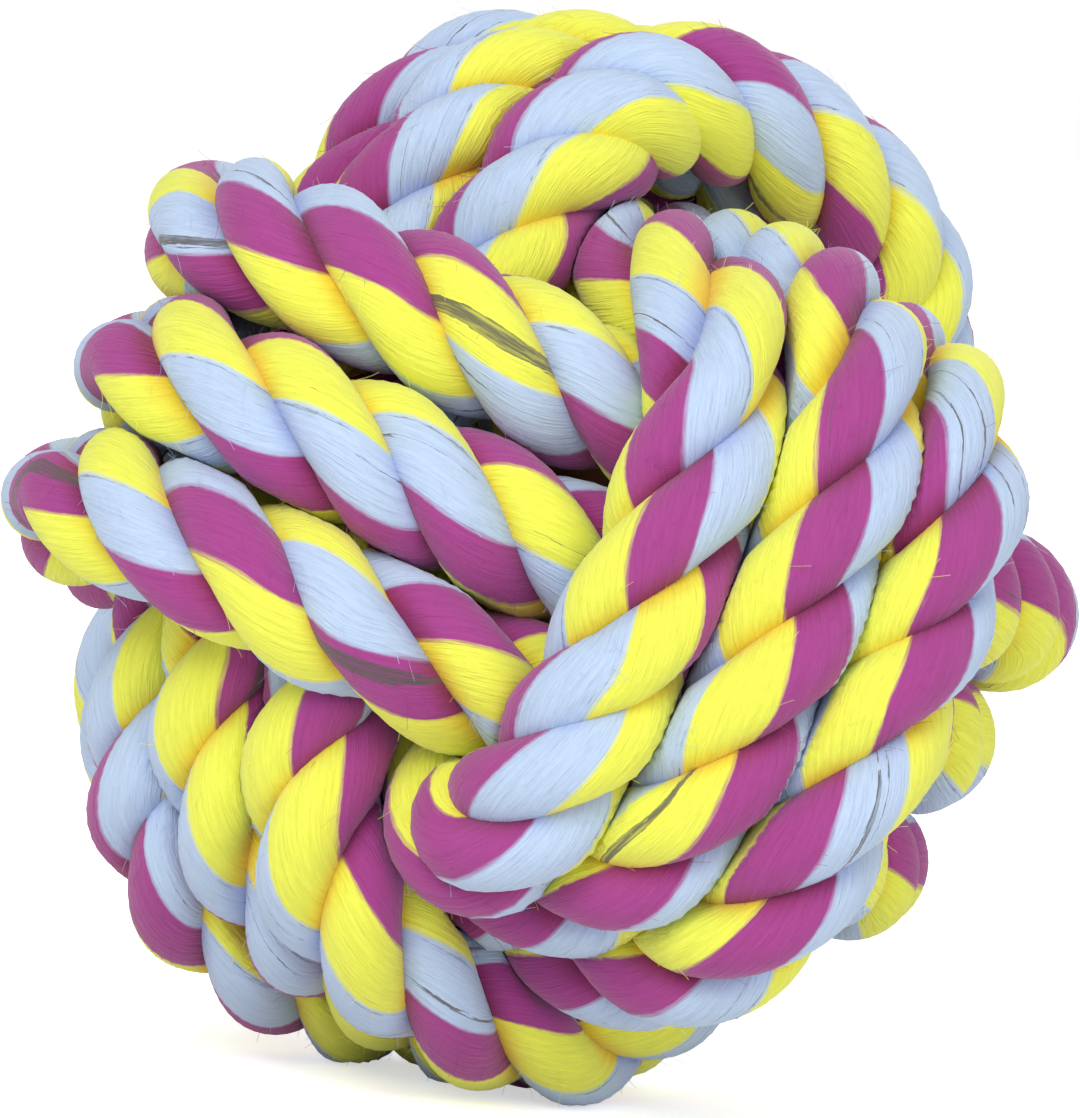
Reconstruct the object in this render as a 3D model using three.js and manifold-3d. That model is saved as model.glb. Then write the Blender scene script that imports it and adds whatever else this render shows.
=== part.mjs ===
// Rope ball toy: one laid cotton rope tied as a ball knot round a small core.
// The knot has three bands that stand square to each other, and each band has three turns.
// Lengths are in millimetres and +Z is up. The ball rests on the flat foot of its lowest turns.
import * as THREE from "three";
import { mergeVertices } from "three/addons/utils/BufferGeometryUtils.js";
import Module from "manifold-3d";

const wasm = await Module();
wasm.setup();

// Driving sizes
const ropeDiameter = 12; // the spacing of the turns that lie side by side
const looseSwell = 0.6; // how much wider the rope is where nothing presses on it
const endSqueeze = 2; // how much narrower it is where it is bound at its cut ends
const pressedGap = 0.55; // between two turns that press each other flat
const seatGap = 0.3; // between two pieces that touch
const sealLength = 3; // the dipped seal on each cut end of the rope
const sealRounding = 0.8; // on the outer edge of a seal
const leastClearance = 0.4; // the least that the rope may keep to itself
const footDepthShare = 0.1; // of the rope's diameter, pressed flat where the ball rests

// Counts
const stepsPerTurn = 24;
const tubeSides = 6;
const linkSteps = 4;
const probesPerStep = 4;
const pressRounds = 40;
const boundRings = 3; // at each end: the seal's tip, the cut and the end of the straight tail
const coreSegments = 24;

// How the ball leans when it rests, as turns about X, Y and Z in degrees
const restLean = [-13, 20.5, -141];

// The route of the rope, in shares of its diameter. Each turn is a rounded square loop: it reaches out
// over one neighbour band, and goes in under the other. The level is its place across its own band.
// A band leans by its reach and depth shares, bows by its bow share, and its corners fill out by square.
const bandShares = [
  {
    square: 0,
    lean: { reach: -0.09, depth: -0.04, bow: -0.02 },
    turns: [
      { reach: 3.57, depth: 2.42, level: 1.03, reachShift: -0.39, depthShift: -0.29 },
      { reach: 3.48, depth: 2.28, level: -0.09, reachShift: -0.21, depthShift: -0.11 },
      { reach: 3.42, depth: 2.46, level: -1.16, reachShift: -0.26, depthShift: -0.23 },
    ],
  },
  {
    square: 0.08,
    lean: { reach: 0.15, depth: 0.09, bow: 0.01 },
    turns: [
      { reach: 3.49, depth: 2.29, level: 0.65, reachShift: -0.5, depthShift: -0.42 },
      { reach: 3.57, depth: 2.3, level: -0.22, reachShift: -0.06, depthShift: -0.11 },
      { reach: 3.81, depth: 2.35, level: -1.04, reachShift: 0.02, depthShift: -0.24 },
    ],
  },
  {
    square: 0.06,
    lean: { reach: -0.14, depth: 0.03, bow: -0.02 },
    turns: [
      { reach: 3.4, depth: 2.14, level: 0.63, reachShift: 0.09, depthShift: -0.35 },
      { reach: 3.34, depth: 2.61, level: -0.17, reachShift: 0.02, depthShift: -0.44 },
      { reach: 3.4, depth: 2.12, level: -0.99, reachShift: -0.16, depthShift: -0.11 },
    ],
  },
];
const crossingShare = 0.2; // of a turn, in which a loop steps over to the next level
const diveTurnShare = 0.13; // of a turn, in which a band comes out of the middle or goes back in
const diveShare = 1.1; // of the rope's diameter, how deep it dives there
const bowFadeShare = 1.5; // of the rope's diameter, from the middle plane, where the bow is whole
const linkPullShare = 0.6; // of the rope's diameter, how straight a link leaves its band
const lastTurnShare = 2.88; // where the last band stops, in turns
const startTailShare = 0.85; // of the rope's diameter, the straight tail at the start
const endTailShare = 0.84; // of the rope's diameter, the straight tail at the end
const coreCentreShares = [0.25, -0.25, 0.1]; // the middle of the hollow

const looseRadius = (ropeDiameter + looseSwell) / 2;
const endRadius = (ropeDiameter - endSqueeze) / 2;
const footDepth = footDepthShare * ropeDiameter;

const smooth = (x) => THREE.MathUtils.smoothstep(x, 0, 1);

// A point of a band's route, after so many turns from the middle of its inward side
function bandPoint(order, turn) {
  const { square, lean, turns } = bandShares[order];
  const angle = (turn - 0.25) * 2 * Math.PI;
  let level = 0;
  for (let done = 1; done < turns.length; done++) level += smooth((turn - done) / crossingShare + 0.5);
  const row = Math.min(Math.floor(level), turns.length - 2);
  const at = (key) => THREE.MathUtils.lerp(turns[row][key], turns[row + 1][key], level - row);

  let dive = 1 - smooth(turn / diveTurnShare);
  if (order < bandShares.length - 1) dive += 1 - smooth((turns.length - turn) / diveTurnShare);
  const reachWave = (Math.cos(angle) - square * Math.cos(3 * angle)) / (1 - square);
  const depthWave = (Math.sin(angle) + square * Math.sin(3 * angle)) / (1 - square);
  const out = at("reachShift") + at("reach") * reachWave;
  const inward = at("depthShift") + at("depth") * depthWave + diveShare * dive;
  const bowed = out > 0 ? Math.min(1, out / bowFadeShare) : 0;
  const across = at("level") + lean.reach * out + lean.depth * inward + lean.bow * inward ** 2 * bowed;

  const axes = [out, inward, across];
  const shift = bandShares.length - order;
  return new THREE.Vector3(...axes.map((_, axis) => axes[(axis + shift) % axes.length]));
}

// The direction of travel there
function bandDirection(order, turn) {
  const step = 1 / (stepsPerTurn * probesPerStep);
  const last = bandShares[order].turns.length;
  const from = Math.max(0, turn - step);
  const to = Math.min(last, turn + step);
  return bandPoint(order, to).sub(bandPoint(order, from)).normalize();
}

// The whole route: a straight tail, three bands joined by two links in the hollow, and a straight tail
function ropeRoute() {
  const points = [];
  const last = bandShares.length - 1;
  const start = bandPoint(0, 0);
  points.push(start.clone().addScaledVector(bandDirection(0, 0), -startTailShare));

  bandShares.forEach(({ turns }, order) => {
    const end = order < last ? turns.length : lastTurnShare;
    const steps = Math.round(end * stepsPerTurn);
    for (let i = 0; i <= steps; i++) points.push(bandPoint(order, (end * i) / steps));
    if (order === last) {
      const tail = points.at(-1).clone();
      points.push(tail.addScaledVector(bandDirection(order, end), endTailShare));
      return;
    }
    const from = points.at(-1);
    const to = bandPoint(order + 1, 0);
    const leave = from.clone().addScaledVector(bandDirection(order, end), linkPullShare);
    const arrive = to.clone().addScaledVector(bandDirection(order + 1, 0), -linkPullShare);
    const link = new THREE.CubicBezierCurve3(from, leave, arrive, to);
    for (let i = 1; i < linkSteps; i++) points.push(link.getPoint(i / linkSteps));
  });

  const lean = new THREE.Euler(...restLean.map(THREE.MathUtils.degToRad));
  return points.map((point) => point.multiplyScalar(ropeDiameter).applyEuler(lean));
}

// The route with the tips of the two seals before and after it
function sealedRoute(route) {
  const tipShare = (seatGap + sealLength) / (startTailShare * ropeDiameter);
  const lastTipShare = (seatGap + sealLength) / (endTailShare * ropeDiameter);
  const firstTip = route[0].clone().lerp(route[1], -tipShare);
  const lastTip = route.at(-1).clone().lerp(route.at(-2), -lastTipShare);
  return [firstTip, ...route, lastTip];
}

const isBound = (ring, route) => ring < boundRings || ring >= route.length - boundRings;

// The rim of the tube round each point of the route, turned as little as possible from one to the next
function looseRims(route) {
  const tangents = route.map((_, i) => {
    const before = route[Math.max(0, i - 1)];
    const after = route[Math.min(route.length - 1, i + 1)];
    return after.clone().sub(before).normalize();
  });
  const normal = new THREE.Vector3(0, 0, 1).cross(tangents[0]).normalize();
  return route.map((_, i) => {
    if (i > 0) {
      const turn = new THREE.Quaternion().setFromUnitVectors(tangents[i - 1], tangents[i]);
      normal.applyQuaternion(turn);
    }
    const side = tangents[i].clone().cross(normal);
    const radius = isBound(i, route) ? endRadius : looseRadius;
    return Array.from({ length: tubeSides }, (_, k) => {
      const angle = (2 * Math.PI * k) / tubeSides;
      const rim = normal.clone().multiplyScalar(radius * Math.cos(angle));
      return rim.addScaledVector(side, radius * Math.sin(angle));
    });
  });
}

// Points along the route at which one turn is measured against another
function probesOf(route) {
  const probes = [];
  let along = 0;
  for (let ring = 0; ring + 1 < route.length; ring++) {
    const length = route[ring].distanceTo(route[ring + 1]);
    for (let k = 0; k < probesPerStep; k++) {
      const share = k / probesPerStep;
      const at = route[ring].clone().lerp(route[ring + 1], share);
      probes.push({ ring, share, at, along: along + share * length });
    }
    along += length;
  }
  return probes;
}

// Pairs of probes on two turns that lie near enough to press on each other
function touchingPairs(route) {
  const probes = probesOf(route);
  const apart = 2 * ropeDiameter;
  const near = 2 * looseRadius + pressedGap;
  const pairs = [];
  probes.forEach((a, i) => {
    for (const b of probes.slice(i + 1)) {
      const distance = a.at.distanceTo(b.at);
      if (b.along - a.along < apart || distance > near) continue;
      pairs.push({ a, b, distance, way: b.at.clone().sub(a.at).normalize() });
    }
  });
  return pairs;
}

// How far each point of the tube's rim reaches at a probe, in some direction
function reachesOf(rims, { ring, share }, way) {
  return rims[ring].map((rim, k) => THREE.MathUtils.lerp(rim.dot(way), rims[ring + 1][k].dot(way), share));
}

// Turns that press on each other give way alike, until they keep the pressed gap. Bound ends don't.
function pressRims(route, rims) {
  const pairs = touchingPairs(route);
  const drawBack = ({ ring, share }, way, reaches, most) => {
    const weight = share ** 2 + (1 - share) ** 2;
    reaches.forEach((reach, k) => {
      if (reach <= most) return;
      const excess = (reach - most) / weight;
      if (!isBound(ring, route)) rims[ring][k].addScaledVector(way, -excess * (1 - share));
      if (!isBound(ring + 1, route)) rims[ring + 1][k].addScaledVector(way, -excess * share);
    });
  };
  let least = Infinity;
  for (let round = 0; round <= pressRounds; round++) {
    least = Infinity;
    for (const { a, b, distance, way } of pairs) {
      const back = way.clone().negate();
      const reachesA = reachesOf(rims, a, way);
      const reachesB = reachesOf(rims, b, back);
      const gap = distance - Math.max(...reachesA) - Math.max(...reachesB);
      least = Math.min(least, gap);
      if (gap >= pressedGap || round === pressRounds) continue;
      const give = (pressedGap - gap) / 2;
      drawBack(a, way, reachesA, Math.max(...reachesA) - give);
      drawBack(b, back, reachesB, Math.max(...reachesB) - give);
    }
  }
  return least;
}

// A closed tube through the rims
function tubeGeometry(route, rims) {
  const positions = [];
  const indices = [];
  route.forEach((point, i) => {
    for (const rim of rims[i]) positions.push(...point.clone().add(rim).toArray());
  });
  const ring = (i, k) => i * tubeSides + (k % tubeSides);
  for (let i = 0; i + 1 < route.length; i++) {
    for (let k = 0; k < tubeSides; k++) {
      indices.push(ring(i, k), ring(i, k + 1), ring(i + 1, k + 1));
      indices.push(ring(i, k), ring(i + 1, k + 1), ring(i + 1, k));
    }
  }
  const last = route.length - 1;
  for (let k = 1; k + 1 < tubeSides; k++) {
    indices.push(ring(0, 0), ring(0, k + 1), ring(0, k));
    indices.push(ring(last, 0), ring(last, k), ring(last, k + 1));
  }
  const geometry = new THREE.BufferGeometry();
  geometry.setAttribute("position", new THREE.Float32BufferAttribute(positions, 3));
  geometry.setIndex(indices);
  return geometry;
}

// Booleans: geometry to solid and back
function toSolid(geometry) {
  const bare = geometry.clone();
  bare.deleteAttribute("normal");
  bare.deleteAttribute("uv");
  const merged = mergeVertices(bare);
  const vertProperties = merged.attributes.position.array;
  const triVerts = new Uint32Array(merged.index.array);
  return new wasm.Manifold(new wasm.Mesh({ numProp: 3, vertProperties, triVerts }));
}

function toGeometry(solid) {
  const { vertProperties, triVerts } = solid.getMesh();
  const geometry = new THREE.BufferGeometry();
  geometry.setAttribute("position", new THREE.BufferAttribute(vertProperties, 3));
  geometry.setIndex(new THREE.BufferAttribute(triVerts, 1));
  geometry.computeVertexNormals();
  return geometry;
}

// The rope, cut flat below the level that its lowest turns press into
function ropeGeometry(route, rims) {
  const whole = tubeGeometry(route, rims);
  whole.computeBoundingBox();
  const { min, max } = whole.boundingBox;
  const size = max.clone().sub(min);
  const floor = new THREE.BoxGeometry(2 * size.x, 2 * size.y, size.z);
  floor.translate((min.x + max.x) / 2, (min.y + max.y) / 2, min.z + footDepth - size.z / 2);
  return toGeometry(toSolid(whole).subtract(toSolid(floor)));
}

// A dipped seal in front of a cut end: a short plug with a rounded outer edge
function sealGeometry(end, outward) {
  const base = seatGap;
  const tip = seatGap + sealLength;
  const profile = new THREE.Path();
  profile.moveTo(0, base);
  profile.lineTo(endRadius, base);
  profile.lineTo(endRadius, tip - sealRounding);
  profile.absarc(endRadius - sealRounding, tip - sealRounding, sealRounding, 0, Math.PI / 2, false);
  profile.lineTo(0, tip);
  const geometry = new THREE.LatheGeometry(profile.getPoints(3), coreSegments);
  const up = new THREE.Vector3(0, 1, 0);
  geometry.applyQuaternion(new THREE.Quaternion().setFromUnitVectors(up, outward));
  return geometry.translate(end.x, end.y, end.z);
}

// The core: a ball as large as the hollow of the knot lets in
function coreGeometry(ropeForm) {
  const lean = new THREE.Euler(...restLean.map(THREE.MathUtils.degToRad));
  const centre = new THREE.Vector3(...coreCentreShares).multiplyScalar(ropeDiameter).applyEuler(lean);
  const corners = ropeForm.attributes.position;
  const order = ropeForm.index.array;
  const face = new THREE.Triangle();
  const nearest = new THREE.Vector3();
  let free = Infinity;
  for (let i = 0; i < order.length; i += 3) {
    face.setFromAttributeAndIndices(corners, order[i], order[i + 1], order[i + 2]);
    free = Math.min(free, face.closestPointToPoint(centre, nearest).distanceTo(centre));
  }
  const radius = free - seatGap;
  console.log("core diameter " + (2 * radius).toFixed(1) + " mm");
  const geometry = new THREE.SphereGeometry(radius, coreSegments, coreSegments / 2);
  return geometry.translate(centre.x, centre.y, centre.z);
}

function piece(name, geometry, color, roughness) {
  const material = new THREE.MeshStandardMaterial({ color, roughness, metalness: 0 });
  const mesh = new THREE.Mesh(geometry, material);
  mesh.name = name;
  return mesh;
}

const route = ropeRoute();
const sealed = sealedRoute(route);
const sealedRims = looseRims(sealed);
const gap = pressRims(sealed, sealedRims);
const rims = sealedRims.slice(1, -1);
const length = route.slice(1).reduce((sum, point, i) => sum + point.distanceTo(route[i]), 0);
console.log("rope length " + length.toFixed(0) + " mm, least gap to itself " + gap.toFixed(2) + " mm");
if (gap < leastClearance) console.log("the rope lies closer to itself than it may");

const ropeForm = ropeGeometry(route, rims);
const rope = piece("rope", ropeForm, 0xe3ea52, 0.95);
const startOutward = route[0].clone().sub(route[1]).normalize();
const endOutward = route.at(-1).clone().sub(route.at(-2)).normalize();
const startSeal = piece("start_end_seal", sealGeometry(route[0], startOutward), 0xd9cdb4, 0.5);
const finishSeal = piece("finish_end_seal", sealGeometry(route.at(-1), endOutward), 0xd9cdb4, 0.5);
const core = piece("core_ball", coreGeometry(ropeForm), 0xb98a5a, 0.8);

const group = new THREE.Group();
group.add(rope, startSeal, finishSeal, core);

// The origin is under the middle of the ball, in the plane of its foot
const box = new THREE.Box3().setFromObject(rope);
const middle = box.getCenter(new THREE.Vector3());
const ball = new THREE.Group();
ball.position.set(-middle.x, -middle.y, -box.min.z);
ball.add(group);
const part = new THREE.Group();
part.add(ball);

export default part;
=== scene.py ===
"""A rope ball toy: one laid cotton rope of three colours, tied as a ball knot round a small core."""

import math

import bpy
import numpy as np
from mathutils import Matrix, Vector


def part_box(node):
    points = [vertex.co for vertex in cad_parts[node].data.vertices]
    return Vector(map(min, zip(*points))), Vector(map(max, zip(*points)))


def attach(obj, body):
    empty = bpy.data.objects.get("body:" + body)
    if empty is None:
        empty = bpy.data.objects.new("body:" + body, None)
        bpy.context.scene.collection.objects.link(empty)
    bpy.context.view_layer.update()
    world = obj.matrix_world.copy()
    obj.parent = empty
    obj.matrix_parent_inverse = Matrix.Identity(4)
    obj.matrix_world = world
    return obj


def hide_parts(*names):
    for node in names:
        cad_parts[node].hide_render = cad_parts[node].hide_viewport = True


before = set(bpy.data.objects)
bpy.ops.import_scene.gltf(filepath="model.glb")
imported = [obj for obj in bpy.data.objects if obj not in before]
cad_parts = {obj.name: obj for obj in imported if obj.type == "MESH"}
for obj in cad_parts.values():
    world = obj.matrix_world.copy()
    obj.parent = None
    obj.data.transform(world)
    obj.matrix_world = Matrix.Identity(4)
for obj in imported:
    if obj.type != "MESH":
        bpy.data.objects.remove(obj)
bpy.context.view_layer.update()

# Driving sizes, in metres. Shares below are shares of the rope's diameter unless they say otherwise.
ROPE_DIAMETER = 0.012
RING_STEP_SHARE = 0.06
STRAND_SIDES = 24
FLOOR_GAP = 0.0002

# How the ball leans when it rests, and where the middle of its hollow is, as in the part's source
REST_LEAN = (-13, 20.5, -141)
CORE_CENTRE_SHARES = (0.25, -0.25, 0.1)

# The route of the rope, as in the part's source. Each turn gives its reach, depth, level, reach shift
# and depth shift. Each band leans by its reach and depth, bows, and fills its corners out by square.
BAND_SHARES = [
    {
        "square": 0,
        "lean": (-0.09, -0.04, -0.02),
        "turns": [
            (3.57, 2.42, 1.03, -0.39, -0.29),
            (3.48, 2.28, -0.09, -0.21, -0.11),
            (3.42, 2.46, -1.16, -0.26, -0.23),
        ],
    },
    {
        "square": 0.08,
        "lean": (0.15, 0.09, 0.01),
        "turns": [
            (3.49, 2.29, 0.65, -0.5, -0.42),
            (3.57, 2.3, -0.22, -0.06, -0.11),
            (3.81, 2.35, -1.04, 0.02, -0.24),
        ],
    },
    {
        "square": 0.06,
        "lean": (-0.14, 0.03, -0.02),
        "turns": [
            (3.4, 2.14, 0.63, 0.09, -0.35),
            (3.34, 2.61, -0.17, 0.02, -0.44),
            (3.4, 2.12, -0.99, -0.16, -0.11),
        ],
    },
]
CROSSING_SHARE = 0.2
DIVE_TURN_SHARE = 0.13
DIVE_SHARE = 1.1
BOW_FADE_SHARE = 1.5
LINK_PULL_SHARE = 0.6
LAST_TURN_SHARE = 2.88
START_TAIL_SHARE = 0.85
END_TAIL_SHARE = 0.84

# The rope's lay: three strands wound round each other
LAY_RADIUS_SHARE = 0.288
STRAND_RADIUS_SHARE = 0.288
STRANDS = 3
SWELL_SHARE = 0.025  # of a strand's radius, how uneven the spinning is
SWELL_STEP_SHARE = 0.8
SWELL_SEED = 11
PRESS_GAP_SHARE = 0.004
YARN_MAP = "yarn"
DARK_MAP = "dark"
CREASE_MAP = "crease"
CREASE_SHARES = (0.36, 0.52)  # how far from the rope's middle a crease ends and the open surface starts
# Where lobes of the lay face the camera, read from the photograph to the nearest 5 degrees: band, turn,
# the degrees at which each lobe does so, and the yarn in its middle. Round a strand 0.17 is pale
# blue, 0.5 purple and 0.83 yellow.
LOBE_SHARES = [
    (0, 0, (-25, -10, 10, 30, 45, 60, 75), (0.95, 0.15, 0.55, 0.65, 0.9, 0.25, 0.4)),
    (0, 0, (105, 120, 135, 150), (0.5, 0.65, 0.75, 0.9)),
    (0, 1, (-30, -10, 15, 35, 50, 65, 80), (0.4, 0.5, 0.1, 0.1, 0.25, 0.95, 0.85)),
    (0, 1, (110, 125, 140), (0.85, 0.7, 0.9)),
    (0, 2, (-30, -10, 10, 30, 45, 65), (0, 0.5, 0.1, 0.6, 0.2, 0.85)),
    (0, 2, (110, 125, 140), (0.5, 0.85, 0.7)),
    (1, 0, (-80, -70, -60, -45, -25, -10, 10, 30, 55, 70),
     (0.9, 0.8, 0.75, 0.4, 0.1, 0, 0.4, 0.15, 0.9, 0.5)),
    (1, 1, (-80, -70, -50, -30, -10, 10, 30, 50), (0.8, 0.85, 0.6, 0.75, 0.75, 0.5, 0.45, 0.7)),
    (1, 2, (-85, -75, -60, -40, -20, 0, 15, 35, 55), (0.85, 0.85, 0.65, 0.65, 0.4, 0.65, 0.65, 0.3, 0.75)),
    (2, 0, (-60, -45, -30, -10, 10, 30, 45, 60, 75), (0.8, 0.75, 0.7, 0.65, 0.15, 0, 0, 0.9, 0.9)),
    (2, 0, (100, 120, 135, 155, 175, 195, 215, 235), (0.5, 0.5, 0.7, 0.7, 0.2, 0.65, 0.65, 0.95)),
    (2, 1, (5, 20, 35, 55, 75), (0.3, 0.4, 0.55, 0.9, 0.15)),
    (2, 1, (95, 120, 135, 155, 170, 185), (0.45, 0.6, 0.7, 0.85, 0.35, 0.6)),
    (2, 2, (0, 20, 40, 60, 75), (0.7, 0.65, 0.95, 0.2, 0.85)),
    (2, 2, (100, 115, 130, 145, 165, 185), (0.85, 0.7, 0.05, 0.15, 0.85, 0.6)),
]
# Where dark yarns come up broadly, read the same way: band, turn, degrees, place round the strand, and width
DARK_SHARES = [
    (0, 0, -10, 0.25, 0.05),
    (0, 0, 45, 0.85, 0.08),
    (0, 2, -10, 0.42, 0.08),
    (0, 2, 45, 0.42, 0.09),
    (2, 2, 115, 0.5, 0.12),
    (2, 1, 120, 0.45, 0.07),
    (2, 1, 170, 0.4, 0.08),
    (1, 1, -30, 0.85, 0.05),
    (1, 2, -20, 0.15, 0.03),
    (2, 0, 10, 0.75, 0.05),
]
DARK_REACH_SHARE = 0.65
LAY_PITCH_SHARE = 2.45
YARN_TWIST_SHARE = 0.9  # turns of the strand's colours per rope diameter, against the lay
YARN_SENSES = (1, -1, 1)  # which way round a strand its colours follow each other, band by band

# Loose fibres that stand off the cotton
FIBRE_COUNT = 7000
FIBRE_RADIUS_SHARE = 0.0016
FIBRE_LENGTH_SHARES = (0.06, 0.2)
FIBRE_RISE_SHARES = (0.02, 0.07)
FIBRE_RISE_POWER = 1.5
FIBRE_SWERVE_SHARE = 0.5  # of a fibre's own run, how far it strays sideways
FIBRE_OUTSIDE_SHARE = 0.35  # how squarely a fibre's root has to face out of the ball
FIBRE_END_RINGS = 2  # rings that stay bare at each end of a strand
FIBRE_STEPS = 3
FIBRE_SIDES = 3
FIBRE_SEED = 7

# The yarns round a strand, as shares of the way round it
BLUE_END_SHARE = 0.31
PURPLE_END_SHARE = 0.63
COLOR_EDGE_SHARE = 0.012
STRAY_SHARE = 0.05
FRAY_SHARE = 0.09
# Single dark threads: place, width, and where in the noise each one takes its own pattern
THREAD_SHARES = [
    (0.235, 0.005, 7.7),
    (0.1, 0.004, 12.3),
    (0.9, 0.005, 19.9),
    (0.57, 0.006, 25.1),
]
THREAD_RATE = 0.7
THREAD_DETAIL = 1
THREAD_SHOWN = (0.6, 0.68)

# Streaks of the noise: how many in a rope diameter along the strand and in one way round it, and the
# noise's detail and roughness
WIDE_STREAKS = (1.6, 9.0, 2, 0.5)
FINE_STREAKS = (3.5, 46.0, 3, 0.65)
FINEST_STREAKS = (9.0, 120.0, 2, 0.5)
FINE_LIGHT_SHARE = 0.6
FINE_RIDGE_SHARE = 0.7
# Spans of the noise, low and high, and what they become
DARK_MOTTLE = (0.36, 0.52, 0.35, 0.9)
FIBRE_SHADE = (0.32, 0.68, 0.86, 1.05)
COTTON_ROUGHNESS = (0.3, 0.7, 0.95, 0.8)
CURED_SPREAD = (0.3, 0.7)
CURED_ROUGHNESS = (0, 1, 0.75, 0.6)
CURED_DETAIL = 4
DIP_GRAIN = 900
RUBBER_GRAIN = 350
# Relief in the shaders: strength, and depth in metres
COTTON_RELIEF = (0.85, 0.0004)
CURED_RELIEF = (0.3, 0.0001)

# The studio, in metres and watts: each lamp's name, place, size and power
LAMPS = [
    ("key", (-0.3, -0.75, 0.7), 0.6, 6.3),
    ("fill", (0.6, -0.75, 0.2), 0.7, 2.4),
    ("back", (0.2, 0.9, 0.6), 0.7, 3.5),
]
FLOOR_HALF = 3.0
FLOOR_GLOW = 0.56
STUDIO_LIGHT = 0.5

# The camera, where the photograph was taken from
SENSOR_WIDTH = 36
CLIP_RANGE = (0.01, 50)
CAMERA_AZIMUTH = 0.16
CAMERA_ELEVATION = 4.88
CAMERA_ROLL = 7.16
CAMERA_DISTANCE_SHARE = 60
IMAGE_SIZE = (1080, 1118)
PIXELS_PER_DIAMETER = 136.5
BALL_MIDDLE_PIXEL = (537.2, 538.7)


def smooth(x):
    x = np.clip(x, 0, 1)
    return x * x * (3 - 2 * x)


def unit(vectors):
    return vectors / np.linalg.norm(vectors, axis=-1, keepdims=True)


def band_points(order, turns):
    """Points of a band's route, after so many turns from the middle of its inward side."""
    band = BAND_SHARES[order]
    rows = np.array(band["turns"])
    turn_count = len(rows)
    angle = (turns - 0.25) * 2 * np.pi
    level = sum(smooth((turns - done) / CROSSING_SHARE + 0.5) for done in range(1, turn_count))
    row = np.minimum(level.astype(int), turn_count - 2)
    part = (level - row)[:, None]
    reach, depth, place, reach_shift, depth_shift = (rows[row] * (1 - part) + rows[row + 1] * part).T

    dive = 1 - smooth(turns / DIVE_TURN_SHARE)
    if order < len(BAND_SHARES) - 1:
        dive = dive + 1 - smooth((turn_count - turns) / DIVE_TURN_SHARE)
    square = band["square"]
    reach_wave = (np.cos(angle) - square * np.cos(3 * angle)) / (1 - square)
    depth_wave = (np.sin(angle) + square * np.sin(3 * angle)) / (1 - square)
    out = reach_shift + reach * reach_wave
    inward = depth_shift + depth * depth_wave + DIVE_SHARE * dive
    bowed = np.clip(out / BOW_FADE_SHARE, 0, 1)
    lean_reach, lean_depth, bow = band["lean"]
    across = place + lean_reach * out + lean_depth * inward + bow * inward**2 * bowed
    return np.roll(np.stack([out, inward, across], 1), order, axis=1)


def link_points(start, start_way, end, end_way, count):
    """A smooth link from the end of one band to the start of the next."""
    leave = start + LINK_PULL_SHARE * start_way
    arrive = end - LINK_PULL_SHARE * end_way
    t = np.linspace(0, 1, count + 1)[1:-1, None]
    u = 1 - t
    return u**3 * start + 3 * u**2 * t * leave + 3 * u * t**2 * arrive + t**3 * end


def rope_route():
    """The whole route in the knot's own frame, in rope diameters, and the band and turn of each point."""
    steps_per_turn = 480
    link_steps = 60
    tail_steps = 40
    turns = []
    bands = []
    for order in range(len(BAND_SHARES)):
        end = LAST_TURN_SHARE if order == len(BAND_SHARES) - 1 else len(BAND_SHARES[order]["turns"])
        turns.append(np.linspace(0, end, int(end * steps_per_turn) + 1))
        bands.append(band_points(order, turns[-1]))
    starts = [unit(points[1] - points[0]) for points in bands]
    ends = [unit(points[-1] - points[-2]) for points in bands]

    tail = np.linspace(1, 0, tail_steps + 1)[:-1, None]
    points = [bands[0][0] - START_TAIL_SHARE * tail * starts[0]]
    places = [np.full((tail_steps, 2), -1.0)]
    for order, band in enumerate(bands):
        points.append(band)
        places.append(np.stack([np.full(len(band), float(order)), turns[order]], 1))
        if order + 1 < len(bands):
            link = link_points(band[-1], ends[order], bands[order + 1][0], starts[order + 1], link_steps)
            points.append(link)
            places.append(np.full((len(link), 2), -1.0))
    points.append(bands[-1][-1] + END_TAIL_SHARE * tail[::-1] * ends[-1])
    places.append(np.full((tail_steps, 2), -1.0))
    return np.concatenate(points), np.concatenate(places)


def run_lengths(points):
    steps = np.linalg.norm(np.diff(points, axis=0), axis=1)
    return np.concatenate([[0], np.cumsum(steps)])


def carried_frames(points):
    """Directions along the route, and two across it that turn as little as possible on the way."""
    along = unit(np.gradient(points, axis=0))
    across = np.zeros_like(points)
    across[0] = unit(np.cross([0, 0, 1.0], along[0]))
    for i in range(1, len(points)):
        turn = np.cross(along[i - 1], along[i])
        carried = across[i - 1] + np.cross(turn, across[i - 1])
        carried = carried - (carried @ along[i]) * along[i]
        across[i] = carried / np.linalg.norm(carried)
    return along, across, np.cross(along, across)


def knot_place():
    """The turn from the knot's own frame to the part's, and the knot's middle in the part's frame."""
    x, y, z = (math.radians(angle) for angle in REST_LEAN)
    lean = Matrix.Rotation(x, 3, "X") @ Matrix.Rotation(y, 3, "Y") @ Matrix.Rotation(z, 3, "Z")
    low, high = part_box("core_ball")
    middle = (low + high) / 2 - lean @ (Vector(CORE_CENTRE_SHARES) * ROPE_DIAMETER)
    return np.array(lean), np.array(middle)


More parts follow.
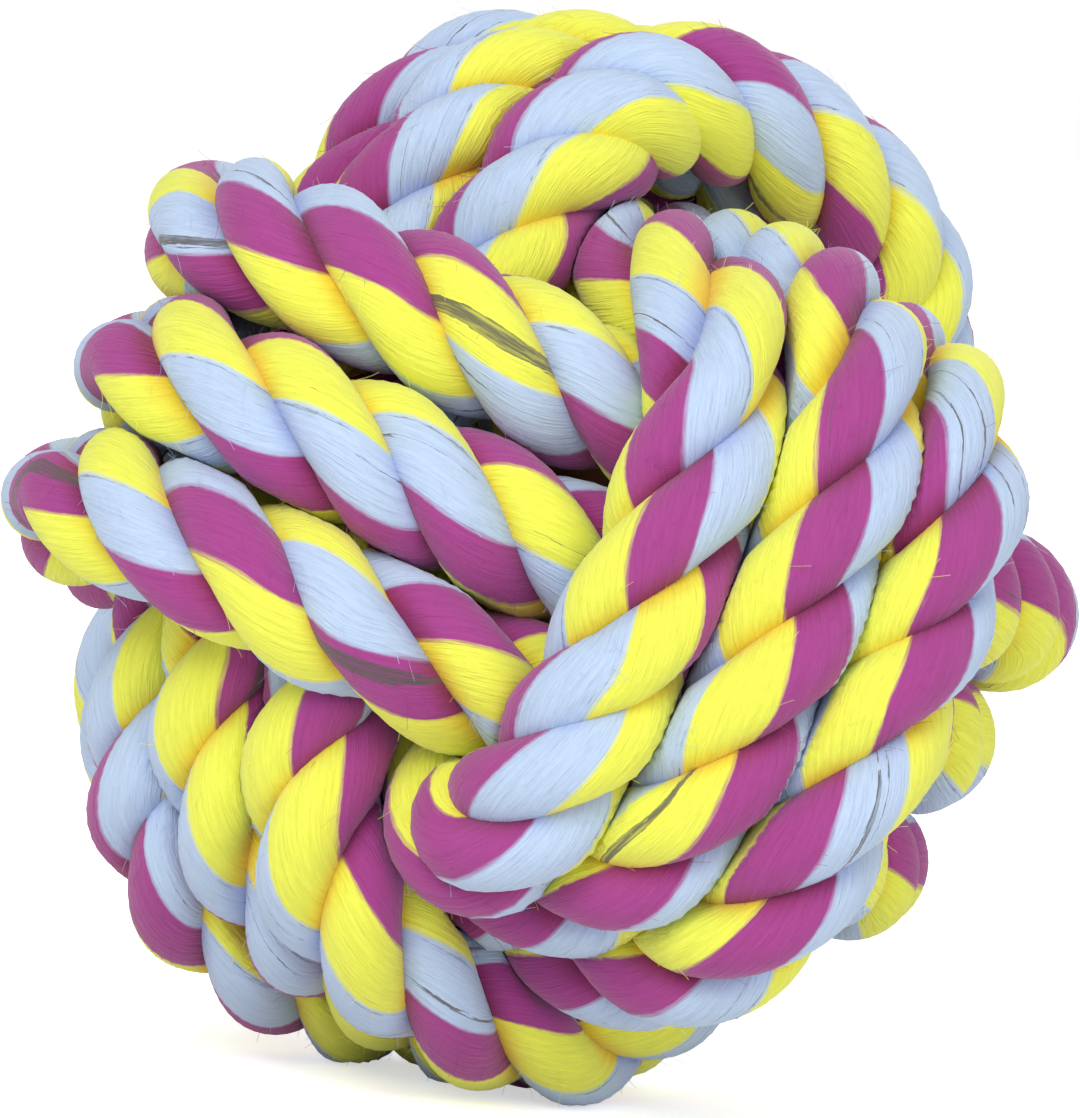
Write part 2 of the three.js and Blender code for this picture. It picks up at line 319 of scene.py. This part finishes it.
def camera_place(middle):
    """The camera's turn and place. The knot's middle falls on its pixel, seen from straight ahead."""
    turn = (
        Matrix.Rotation(math.radians(CAMERA_AZIMUTH), 3, "Z")
        @ Matrix.Rotation(math.radians(90 - CAMERA_ELEVATION), 3, "X")
        @ Matrix.Rotation(math.radians(CAMERA_ROLL), 3, "Z")
    )
    right, up, back = (np.array(turn.col[i]) for i in range(3))
    right_share = (BALL_MIDDLE_PIXEL[0] - IMAGE_SIZE[0] / 2) / PIXELS_PER_DIAMETER
    down_share = (BALL_MIDDLE_PIXEL[1] - IMAGE_SIZE[1] / 2) / PIXELS_PER_DIAMETER
    offset = CAMERA_DISTANCE_SHARE * back - right_share * right + down_share * up
    return turn, middle + ROPE_DIAMETER * offset


class Rope:
    """The rope's route at even steps, with its directions, in the knot's own frame and rope diameters."""

    def __init__(self):
        points, self.places = rope_route()
        self.lengths = run_lengths(points)
        count = int(round(self.lengths[-1] / RING_STEP_SHARE))
        self.at = np.linspace(0, self.lengths[-1], count + 1)
        self.route = np.stack([np.interp(self.at, self.lengths, points[:, i]) for i in range(3)], 1)
        self.along, self.across, self.aside = carried_frames(self.route)

    def length_at(self, order, turn):
        mine = self.places[:, 0] == order
        return float(np.interp(turn, self.places[mine, 1], self.lengths[mine]))

    def facing(self, length, eye):
        """The angle round the rope at which its surface faces the eye."""
        i = int(np.searchsorted(self.at, length))
        sight = eye - self.route[i]
        return math.atan2(sight @ self.aside[i], sight @ self.across[i])


def lay_marks(rope, eye):
    """Where the lay is set by lobes that face the camera: lengths and angles, and the yarn of each lobe."""
    third = 2 * np.pi / STRANDS
    rows = []
    for order, turn, places, yarns in LOBE_SHARES:
        rows.append(([rope.length_at(order, turn + 0.25 + degrees / 360) for degrees in places], yarns))

    marks = []
    lobes = []
    for lengths, yarns in sorted(rows):
        faces = np.unwrap([rope.facing(length, eye) for length in lengths])
        before, angle = marks[-1] if marks else (lengths[0], faces[0])
        wanted = angle + 2 * np.pi * (lengths[0] - before) / LAY_PITCH_SHARE
        start = round((wanted - faces[0]) / third)
        for k, (length, face, yarn) in enumerate(zip(lengths, faces, yarns), start):
            marks.append((length, face + third * k))
            lobes.append((-k % STRANDS, length, yarn))
    return np.array(marks), lobes


def dark_yarns(rope, lobes, strand):
    """The broad dark yarn of a strand at each ring: its place round the strand, and its width."""
    dark = np.zeros((len(rope.at), 2))
    for order, turn, degrees, place, width in DARK_SHARES:
        spot = rope.length_at(order, turn + 0.25 + degrees / 360)
        owner, length, _ = min(lobes, key=lambda lobe: abs(lobe[1] - spot))
        if owner == strand:
            shown = smooth(2 - 2 * abs(rope.at - length) / DARK_REACH_SHARE)
            dark[shown > 0, 0] = place
            dark[:, 1] = np.maximum(dark[:, 1], width * shown)
    return dark


def lay_angles(rope, marks):
    """The angle of the first strand round the rope, all along the route."""
    rate = 2 * np.pi / LAY_PITCH_SHARE
    spots, angles = marks.T
    lay = np.interp(rope.at, spots, angles)
    lay += rate * (np.minimum(rope.at - spots[0], 0) + np.maximum(rope.at - spots[-1], 0))
    return lay


def yarn_senses(rope):
    """Which way round the colours go at each ring. They turn over in the links, inside the ball."""
    spots = []
    senses = []
    for order, sense in enumerate(YARN_SENSES):
        last = LAST_TURN_SHARE if order == len(BAND_SHARES) - 1 else len(BAND_SHARES[order]["turns"])
        spots += [rope.length_at(order, 0), rope.length_at(order, last)]
        senses += [sense, sense]
    return np.interp(rope.at, spots, senses)


def yarn_turns(rope, senses, lobes, strand):
    """How far a strand's colours have turned at each ring, so that each lobe shows its own yarn."""
    hidden = 0.3
    turned = YARN_TWIST_SHARE * rope.at[1] * np.cumsum(senses)
    spots, yarns = np.array([(length, yarn) for owner, length, yarn in lobes if owner == strand]).T
    missing = yarns - np.interp(spots, rope.at, turned)
    steps = (np.diff(missing) + 0.5) % 1 - 0.5
    turned += missing[0]
    for before, after, step in zip(spots, spots[1:], steps):
        part = (rope.at - before) / (after - before)
        turned += step * smooth((part - hidden) / (1 - 2 * hidden))
    return turned


def strand_radii(rope, strand):
    """The radius of a strand at each ring, a little uneven along its length."""
    chance = np.random.default_rng(SWELL_SEED + strand)
    spots = np.arange(0, rope.at[-1] + SWELL_STEP_SHARE, SWELL_STEP_SHARE)
    return STRAND_RADIUS_SHARE * (1 + np.interp(rope.at, spots, chance.normal(0, SWELL_SHARE, len(spots))))


def strand_rings(rope, lay, strand):
    """The surface of one strand: rings of points whose first point lies on the rope's inside."""
    angle = lay + strand * 2 * np.pi / STRANDS
    outward = np.cos(angle)[:, None] * rope.across + np.sin(angle)[:, None] * rope.aside
    middle = rope.route + LAY_RADIUS_SHARE * outward
    along = unit(np.gradient(middle, axis=0))
    out = unit(outward - (outward * along).sum(1, keepdims=True) * along)
    side = np.cross(along, out)
    round_angle = np.linspace(-np.pi, np.pi, STRAND_SIDES, endpoint=False)
    outward_part = np.cos(round_angle)[None, :, None] * out[:, None]
    side_part = np.sin(round_angle)[None, :, None] * side[:, None]
    ring = outward_part + side_part
    return middle[:, None] + strand_radii(rope, strand)[:, None, None] * ring


def press_planes(rope):
    """For each ring, the planes midway to the nearest points of other turns: directions and distances."""
    own_reach = 1.3
    seen = 1.35
    planes = 16
    every = 2
    others = rope.route[::every]
    others_at = rope.at[::every]
    ways = np.zeros((len(rope.route), planes, 3))
    halves = np.full((len(rope.route), planes), np.inf)
    for i, (point, at) in enumerate(zip(rope.route, rope.at)):
        apart = np.linalg.norm(others - point, axis=1)
        near = np.flatnonzero((apart < seen) & (np.abs(others_at - at) > own_reach))
        near = near[np.argsort(apart[near])][:planes]
        ways[i, : len(near)] = (others[near] - point) / apart[near, None]
        halves[i, : len(near)] = apart[near] / 2
    return ways, halves


def pressed(rings, rope, ways, halves):
    """The rings, pressed back where they would run into another turn."""
    offset = rings - rope.route[:, None]
    for k in range(ways.shape[1]):
        way = ways[:, k, None]
        over = (offset * way).sum(2) - halves[:, k, None] + PRESS_GAP_SHARE
        offset = offset - np.maximum(over, 0)[:, :, None] * way
    return rope.route[:, None] + offset


def crease_depths(rings, rope):
    """How deep each point lies in the creases of the lay or against another turn, from 0 to 1: the mask of
    the painted crease shade.
    """
    low, high = CREASE_SHARES
    apart = np.linalg.norm(rings - rope.route[:, None], axis=2)
    return 1 - smooth((apart - low) / (high - low))


# Pieces
def ring_map(mesh, name, rows, columns):
    """A map on a tube's sides from one value a ring and side step for each of its two directions."""
    ring_count, steps = rows.shape
    corners = [(0, 0), (0, 1), (1, 1), (1, 0)]
    sides = []
    for values in (rows, columns):
        picked = [values[a : ring_count - 1 + a, b : steps - 1 + b].reshape(-1) for a, b in corners]
        sides.append(np.stack(picked, 1))
    cap = np.zeros((2 * (steps - 1), 2))
    layer = mesh.uv_layers.new(name=name)
    both = np.concatenate([np.stack(sides, 2).reshape(-1, 2), cap])
    layer.data.foreach_set("uv", both.astype(np.float32).ravel())


def strand_mesh(name, rings, turns, senses, at, dark, crease):
    """A closed tube with caps, and maps of the yarn's length and turn, the dark yarn and the creases."""
    ring_count, sides, _ = rings.shape
    low = np.arange(ring_count - 1)[:, None] * sides
    here = np.arange(sides)[None]
    there = (here + 1) % sides
    corners = [low + here, low + there, low + sides + there, low + sides + here]
    quads = np.stack(corners, 2).reshape(-1, 4)
    faces = quads.tolist()
    faces.append(list(range(sides))[::-1])
    faces.append(list(range((ring_count - 1) * sides, ring_count * sides)))
    mesh = bpy.data.meshes.new(name)
    mesh.from_pydata(rings.reshape(-1, 3).tolist(), [], faces)

    step = np.linspace(-0.5, 0.5, sides + 1)
    turn = turns[:, None] + senses[:, None] * step[None]
    length, place, width = (np.broadcast_to(row[:, None], turn.shape) for row in (at, *dark.T))
    ring_map(mesh, YARN_MAP, length, turn)
    ring_map(mesh, DARK_MAP, place, width)
    closed = np.concatenate([crease, crease[:, :1]], 1)
    ring_map(mesh, CREASE_MAP, closed, closed)
    mesh.polygons.foreach_set("use_smooth", [True] * len(mesh.polygons))
    mesh.update()
    return mesh


def linked(name, mesh):
    piece = bpy.data.objects.new(name, mesh)
    bpy.context.scene.collection.objects.link(piece)
    return piece


# Materials
def linear(red, green, blue):
    """A screen colour from 0 to 255 as the shader's colour."""
    shares = [value / 255 for value in (red, green, blue)]
    color = [share / 12.92 if share <= 0.04045 else ((share + 0.055) / 1.055) ** 2.4 for share in shares]
    return color + [1]


YELLOW = linear(240, 243, 88)
PURPLE = linear(166, 66, 140)
PALE_BLUE = linear(188, 208, 236)
# Painted shade: darker, warmer copies of the three yarn colours, mixed in where a strand lies in a crease of
# the lay or against another turn
CREASE_SHADE_YELLOW = linear(240, 202, 46)
CREASE_SHADE_PURPLE = linear(136, 40, 84)
CREASE_SHADE_BLUE = linear(168, 184, 226)
DARK_GREY = linear(92, 86, 84)
DIP_SHADE = linear(214, 204, 184)
DIP_TINT = linear(226, 218, 200)
RUBBER_SHADE = linear(112, 70, 32)
RUBBER_TINT = linear(140, 90, 44)
FLOOR_COLOR = linear(252, 252, 252)


class Nodes:
    """Short forms for the nodes of one tree."""

    def __init__(self, tree):
        self.tree = tree

    def add(self, kind, **values):
        node = self.tree.nodes.new(kind)
        for key, value in values.items():
            setattr(node, key, value)
        return node

    def link(self, source, target):
        self.tree.links.new(source, target)

    def feed(self, socket, value):
        if isinstance(value, bpy.types.NodeSocket):
            self.link(value, socket)
        else:
            socket.default_value = value

    def maths(self, operation, *values):
        node = self.add("ShaderNodeMath", operation=operation)
        for socket, value in zip(node.inputs, values):
            self.feed(socket, value)
        return node.outputs[0]

    def place(self, along, across):
        node = self.add("ShaderNodeCombineXYZ")
        for socket, value in zip(node.inputs, (along, across)):
            self.feed(socket, value)
        return node.outputs[0]

    def noise(self, place, detail, roughness=0.5):
        node = self.add("ShaderNodeTexNoise")
        self.link(place, node.inputs["Vector"])
        node.inputs["Scale"].default_value = 1
        node.inputs["Detail"].default_value = detail
        node.inputs["Roughness"].default_value = roughness
        return node.outputs["Fac"]

    def ramp(self, value, stops):
        node = self.add("ShaderNodeValToRGB")
        elements = node.color_ramp.elements
        while len(elements) < len(stops):
            elements.new(0.5)
        for element, (position, color) in zip(elements, stops):
            element.position = position
            element.color = color
        self.link(value, node.inputs["Fac"])
        return node.outputs["Color"]

    def mix(self, share, first, second, blend="MIX"):
        node = self.add("ShaderNodeMix", data_type="RGBA", blend_type=blend)
        self.feed(node.inputs["Factor"], share)
        self.feed(node.inputs[6], first)
        self.feed(node.inputs[7], second)
        return node.outputs[2]

    def span(self, value, low, high, to_low=0.0, to_high=1.0):
        node = self.add("ShaderNodeMapRange", clamp=True)
        for socket, each in zip(node.inputs[:5], (value, low, high, to_low, to_high)):
            self.feed(socket, each)
        return node.outputs[0]


def new_group(name, inputs, outputs):
    tree = bpy.data.node_groups.new(name, "ShaderNodeTree")
    for label, kind, value in inputs:
        socket = tree.interface.new_socket(label, in_out="INPUT", socket_type=kind)
        socket.default_value = value
    for label, kind in outputs:
        tree.interface.new_socket(label, in_out="OUTPUT", socket_type=kind)
    nodes = Nodes(tree)
    return nodes, nodes.add("NodeGroupInput").outputs, nodes.add("NodeGroupOutput").inputs


def laid_yarn_group():
    """Three colours of yarn side by side round a strand, with painted shade in the creases, a few dark yarns
    and fine fibres.
    """
    floats = "NodeSocketFloat"
    labels = ("Along", "Turn", "Dark Place", "Dark Width", "Crease")
    inputs = [(label, floats, 0.0) for label in labels] + [("Fibre Depth", floats, 1.0)]
    outputs = [("Color", "NodeSocketColor"), ("Height", floats), ("Roughness", floats)]
    n, given, result = new_group("laid_yarn", inputs, outputs)
    along, turn = given["Along"], given["Turn"]

    def streaks(along_rate, turn_rate, detail, roughness):
        place = n.place(n.maths("MULTIPLY", along, along_rate), n.maths("MULTIPLY", turn, turn_rate))
        return n.noise(place, detail, roughness)

    wide = streaks(*WIDE_STREAKS)
    fine = streaks(*FINE_STREAKS)
    finest = streaks(*FINEST_STREAKS)
    strayed = n.maths("MULTIPLY_ADD", n.maths("SUBTRACT", wide, 0.5), STRAY_SHARE, turn)
    strayed = n.maths("MULTIPLY_ADD", n.maths("SUBTRACT", fine, 0.5), STRAY_SHARE, strayed)
    yarn = n.maths("FRACT", strayed)

    def three_colors(blue, purple, yellow):
        stops = [
            (0, blue),
            (BLUE_END_SHARE - COLOR_EDGE_SHARE, blue),
            (BLUE_END_SHARE + COLOR_EDGE_SHARE, purple),
            (PURPLE_END_SHARE - COLOR_EDGE_SHARE, purple),
            (PURPLE_END_SHARE + COLOR_EDGE_SHARE, yellow),
            (1 - 2 * COLOR_EDGE_SHARE, yellow),
            (1, blue),
        ]
        return n.ramp(yarn, stops)

    # Painted shade: the open colours give way to darker copies as the crease map deepens
    open_color = three_colors(PALE_BLUE, PURPLE, YELLOW)
    crease_shade_color = three_colors(CREASE_SHADE_BLUE, CREASE_SHADE_PURPLE, CREASE_SHADE_YELLOW)
    color = n.mix(given["Crease"], open_color, crease_shade_color)

    # Dark yarns come up broadly where the map says so, and elsewhere here and there as single threads
    frayed = n.maths("MULTIPLY", n.maths("SUBTRACT", fine, 0.5), FRAY_SHARE)
    apart = n.maths("ADD", n.maths("ABSOLUTE", n.maths("SUBTRACT", yarn, given["Dark Place"])), frayed)
    dark = n.maths("LESS_THAN", apart, n.maths("MULTIPLY", given["Dark Width"], 0.5))
    for place, width, pattern in THREAD_SHARES:
        apart = n.maths("ABSOLUTE", n.maths("SUBTRACT", yarn, place))
        shown = n.noise(n.place(n.maths("MULTIPLY", along, THREAD_RATE), pattern), THREAD_DETAIL)
        thread = n.maths("LESS_THAN", apart, n.span(shown, *THREAD_SHOWN, 0.0, width))
        dark = n.maths("MAXIMUM", dark, thread)
    dark = n.maths("MULTIPLY", dark, n.span(fine, *DARK_MOTTLE))
    color = n.mix(dark, color, DARK_GREY)

    def both_streaks(fine_share):
        fine_part = n.maths("MULTIPLY", fine, fine_share)
        return n.maths("ADD", fine_part, n.maths("MULTIPLY", finest, 1 - fine_share))

    light = both_streaks(FINE_LIGHT_SHARE)
    shade = n.add("ShaderNodeCombineColor")
    for socket in shade.inputs:
        n.link(n.span(light, *FIBRE_SHADE), socket)
    color = n.mix(1.0, color, shade.outputs[0], blend="MULTIPLY")
    n.link(color, result["Color"])

    ridge = both_streaks(FINE_RIDGE_SHARE)
    n.link(n.maths("MULTIPLY", ridge, given["Fibre Depth"]), result["Height"])
    n.link(n.span(fine, *COTTON_ROUGHNESS), result["Roughness"])
    return n.tree


def cured_group():
    """Faint marbling and small dimples of a dipped or moulded piece."""
    floats = "NodeSocketFloat"
    white = (1, 1, 1, 1)
    inputs = [("Grain Scale", floats, 1.0)]
    inputs += [(name, "NodeSocketColor", white) for name in ("Shade", "Tint")]
    outputs = [("Color", "NodeSocketColor"), ("Height", floats), ("Roughness", floats)]
    n, given, result = new_group("cured_surface", inputs, outputs)
    place = n.add("ShaderNodeTexCoord").outputs["Object"]
    grain = n.add("ShaderNodeTexNoise")
    n.link(place, grain.inputs["Vector"])
    n.link(given["Grain Scale"], grain.inputs["Scale"])
    grain.inputs["Detail"].default_value = CURED_DETAIL
    spread = n.span(grain.outputs["Fac"], *CURED_SPREAD)
    n.link(n.mix(spread, given["Shade"], given["Tint"]), result["Color"])
    n.link(grain.outputs["Fac"], result["Height"])
    n.link(n.span(spread, *CURED_ROUGHNESS), result["Roughness"])
    return n.tree


def cured_material(name, group, shade, tint, grain_scale):
    material, n, shader = new_material(name)
    surface = n.add("ShaderNodeGroup", node_tree=group)
    surface.inputs["Grain Scale"].default_value = grain_scale
    surface.inputs["Shade"].default_value = shade
    surface.inputs["Tint"].default_value = tint
    feed_shader(n, shader, surface, *CURED_RELIEF)
    return material


def feed_shader(n, shader, surface, strength, depth):
    """Feed a surface's colour, roughness and relief to the shader."""
    bump = n.add("ShaderNodeBump")
    bump.inputs["Strength"].default_value = strength
    bump.inputs["Distance"].default_value = depth
    n.link(surface.outputs["Height"], bump.inputs["Height"])
    n.link(surface.outputs["Color"], shader.inputs["Base Color"])
    n.link(surface.outputs["Roughness"], shader.inputs["Roughness"])
    n.link(bump.outputs["Normal"], shader.inputs["Normal"])


def new_material(name, **shader_values):
    material = bpy.data.materials.new(name)
    material.use_nodes = True
    shader = material.node_tree.nodes["Principled BSDF"]
    for key, value in shader_values.items():
        shader.inputs[key.replace("_", " ").title()].default_value = value
    return material, Nodes(material.node_tree), shader


def cotton_material(yarn_group):
    material, n, shader = new_material("laid_cotton", roughness=0.9, sheen_weight=0.25, sheen_roughness=0.5)
    shader.inputs["Specular IOR Level"].default_value = 0.2
    yarn = n.add("ShaderNodeGroup", node_tree=yarn_group)
    for name, first, second in ((YARN_MAP, "Along", "Turn"), (DARK_MAP, "Dark Place", "Dark Width")):
        parts = n.add("ShaderNodeSeparateXYZ")
        n.link(n.add("ShaderNodeUVMap", uv_map=name).outputs["UV"], parts.inputs[0])
        n.link(parts.outputs["X"], yarn.inputs[first])
        n.link(parts.outputs["Y"], yarn.inputs[second])
    parts = n.add("ShaderNodeSeparateXYZ")
    n.link(n.add("ShaderNodeUVMap", uv_map=CREASE_MAP).outputs["UV"], parts.inputs[0])
    n.link(parts.outputs["X"], yarn.inputs["Crease"])
    feed_shader(n, shader, yarn, *COTTON_RELIEF)
    return material


def fibre_mesh(rope, lean, middle, surfaces):
    """Short thin fibres that rise off the outside of the strands, each with the colour of its root."""
    chance = np.random.default_rng(FIBRE_SEED)
    places = []
    yarns = []
    darks = []
    creases = []
    while len(places) < FIBRE_COUNT:
        rings, turns, senses, dark, crease = surfaces[chance.integers(STRANDS)]
        i = int(chance.integers(FIBRE_END_RINGS, len(rings) - FIBRE_END_RINGS))
        j = int(chance.integers(STRAND_SIDES))
        length = chance.uniform(*FIBRE_LENGTH_SHARES)
        rise = chance.uniform(*FIBRE_RISE_SHARES)
        swerve = chance.normal(0, FIBRE_SWERVE_SHARE)
        root = rings[i, j]
        outward = unit(root - rings[i].mean(0))
        if outward @ unit(root) < FIBRE_OUTSIDE_SHARE:
            continue
        along = unit(rings[i + 1, j] - rings[i - 1, j])
        run = unit(along + swerve * np.cross(outward, along))
        t = np.linspace(0, 1, FIBRE_STEPS + 1)[:, None]
        line = root + length * t * run + rise * t**FIBRE_RISE_POWER * outward
        across = np.cross(run, outward)
        round_angle = np.linspace(0, 2 * np.pi, FIBRE_SIDES, endpoint=False)[:, None]
        ring = FIBRE_RADIUS_SHARE * (np.cos(round_angle) * across + np.sin(round_angle) * outward)
        places.append(line[:, None] + ring[None])
        yarns.append((rope.at[i], turns[i] + senses[i] * (j / STRAND_SIDES - 0.5)))
        darks.append(dark[i])
        creases.append((crease[i, j], crease[i, j]))

    points = middle + ROPE_DIAMETER * (np.array(places).reshape(-1, 3) @ lean.T)
    points[:, 2] = np.maximum(points[:, 2], FLOOR_GAP)
    per_fibre = (FIBRE_STEPS + 1) * FIBRE_SIDES
    faces = []
    for fibre in range(FIBRE_COUNT):
        first = fibre * per_fibre
        for step in range(FIBRE_STEPS):
            low = first + step * FIBRE_SIDES
            for side in range(FIBRE_SIDES):
                after = (side + 1) % FIBRE_SIDES
                faces.append((low + side, low + after, low + FIBRE_SIDES + after, low + FIBRE_SIDES + side))
        faces.append(tuple(first + side for side in reversed(range(FIBRE_SIDES))))
        faces.append(tuple(first + per_fibre - FIBRE_SIDES + side for side in range(FIBRE_SIDES)))
    mesh = bpy.data.meshes.new("loose_fibres")
    mesh.from_pydata(points.tolist(), [], faces)
    corners = len(mesh.loops) // FIBRE_COUNT
    for name, values in ((YARN_MAP, yarns), (DARK_MAP, darks), (CREASE_MAP, creases)):
        layer = mesh.uv_layers.new(name=name)
        layer.data.foreach_set("uv", np.repeat(np.array(values), corners, axis=0).astype(np.float32).ravel())
    mesh.update()
    return mesh


# The scene
def make_rope(lean, middle, eye):
    """The three strands and the loose fibres on them."""
    rope = Rope()
    marks, lobes = lay_marks(rope, eye)
    lay = lay_angles(rope, marks)
    senses = yarn_senses(rope)
    ways, halves = press_planes(rope)
    pieces = []
    surfaces = []
    for strand in range(STRANDS):
        rings = pressed(strand_rings(rope, lay, strand), rope, ways, halves)
        turns = yarn_turns(rope, senses, lobes, strand)
        placed = middle + ROPE_DIAMETER * (rings @ lean.T)
        placed[..., 2] = np.maximum(placed[..., 2], FLOOR_GAP)
        dark = dark_yarns(rope, lobes, strand)
        crease = crease_depths(rings, rope)
        mesh = strand_mesh(f"strand_{strand + 1}", placed, turns, senses, rope.at, dark, crease)
        pieces.append(linked(f"strand_{strand + 1}", mesh))
        surfaces.append((rings, turns, senses, dark, crease))
    fibres = linked("loose_fibres", fibre_mesh(rope, lean, middle, surfaces))
    return pieces, fibres


def make_camera(turn, place):
    data = bpy.data.cameras.new("camera")
    data.sensor_width = SENSOR_WIDTH
    data.lens = CAMERA_DISTANCE_SHARE * PIXELS_PER_DIAMETER * data.sensor_width / max(IMAGE_SIZE)
    data.clip_start, data.clip_end = CLIP_RANGE
    camera = bpy.data.objects.new("camera", data)
    camera.matrix_world = Matrix.Translation(Vector(place)) @ turn.to_4x4()
    bpy.context.scene.collection.objects.link(camera)
    bpy.context.scene.camera = camera


def make_lamp(name, place, size, power, target):
    data = bpy.data.lights.new(name, "AREA")
    data.size = size
    data.energy = power
    lamp = bpy.data.objects.new(name, data)
    lamp.location = place
    lamp.rotation_euler = (Vector(target) - Vector(place)).to_track_quat("-Z", "Y").to_euler()
    bpy.context.scene.collection.objects.link(lamp)


def make_stage(middle):
    half = FLOOR_HALF
    mesh = bpy.data.meshes.new("floor")
    corners = [(-half, -half, 0), (half, -half, 0), (half, half, 0), (-half, half, 0)]
    mesh.from_pydata(corners, [], [(0, 1, 2, 3)])
    floor = linked("floor", mesh)
    material, n, shader = new_material("pale_floor", roughness=0.8)
    shader.inputs["Base Color"].default_value = FLOOR_COLOR
    glow = n.add("ShaderNodeEmission")
    glow.inputs["Strength"].default_value = FLOOR_GLOW
    none = n.add("ShaderNodeEmission")
    none.inputs["Strength"].default_value = 0
    path = n.add("ShaderNodeLightPath")
    extra = n.add("ShaderNodeMixShader")
    n.link(path.outputs["Is Camera Ray"], extra.inputs[0])
    n.link(none.outputs[0], extra.inputs[1])
    n.link(glow.outputs[0], extra.inputs[2])
    both = n.add("ShaderNodeAddShader")
    n.link(shader.outputs[0], both.inputs[0])
    n.link(extra.outputs[0], both.inputs[1])
    n.link(both.outputs[0], material.node_tree.nodes["Material Output"].inputs["Surface"])
    mesh.materials.append(material)

    world = bpy.data.worlds.new("studio")
    bpy.context.scene.world = world
    world.use_nodes = True
    n = Nodes(world.node_tree)
    plain = world.node_tree.nodes["Background"]
    plain.inputs["Color"].default_value = (1, 1, 1, 1)
    plain.inputs["Strength"].default_value = STUDIO_LIGHT
    white = n.add("ShaderNodeBackground")
    white.inputs["Color"].default_value = (1, 1, 1, 1)
    path = n.add("ShaderNodeLightPath")
    seen = n.maths("MAXIMUM", path.outputs["Is Camera Ray"], path.outputs["Is Glossy Ray"])
    seen = n.maths("MAXIMUM", seen, path.outputs["Is Transmission Ray"])
    choice = n.add("ShaderNodeMixShader")
    n.link(seen, choice.inputs[0])
    n.link(plain.outputs[0], choice.inputs[1])
    n.link(white.outputs[0], choice.inputs[2])
    n.link(choice.outputs[0], world.node_tree.nodes["World Output"].inputs["Surface"])

    for lamp in LAMPS:
        make_lamp(*lamp, middle)


lean, middle = knot_place()
camera_turn, camera_point = camera_place(middle)
make_camera(camera_turn, camera_point)
eye = lean.T @ (camera_point - middle) / ROPE_DIAMETER
make_stage(middle)

yarn_group = laid_yarn_group()
cotton = cotton_material(yarn_group)
strands, fibres = make_rope(lean, middle, eye)
for piece in strands + [fibres]:
    piece.data.materials.append(cotton)
    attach(piece, "root")
for strand in strands:
    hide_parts("rope")

cured = cured_group()
dipped = cured_material("dipped_seal", cured, DIP_SHADE, DIP_TINT, DIP_GRAIN)
rubber = cured_material("core_rubber", cured, RUBBER_SHADE, RUBBER_TINT, RUBBER_GRAIN)
for node, material in (("start_end_seal", dipped), ("finish_end_seal", dipped), ("core_ball", rubber)):
    bpy.data.objects[node].material_slots[0].material = material

bpy.context.scene.view_settings.view_transform = "Standard"
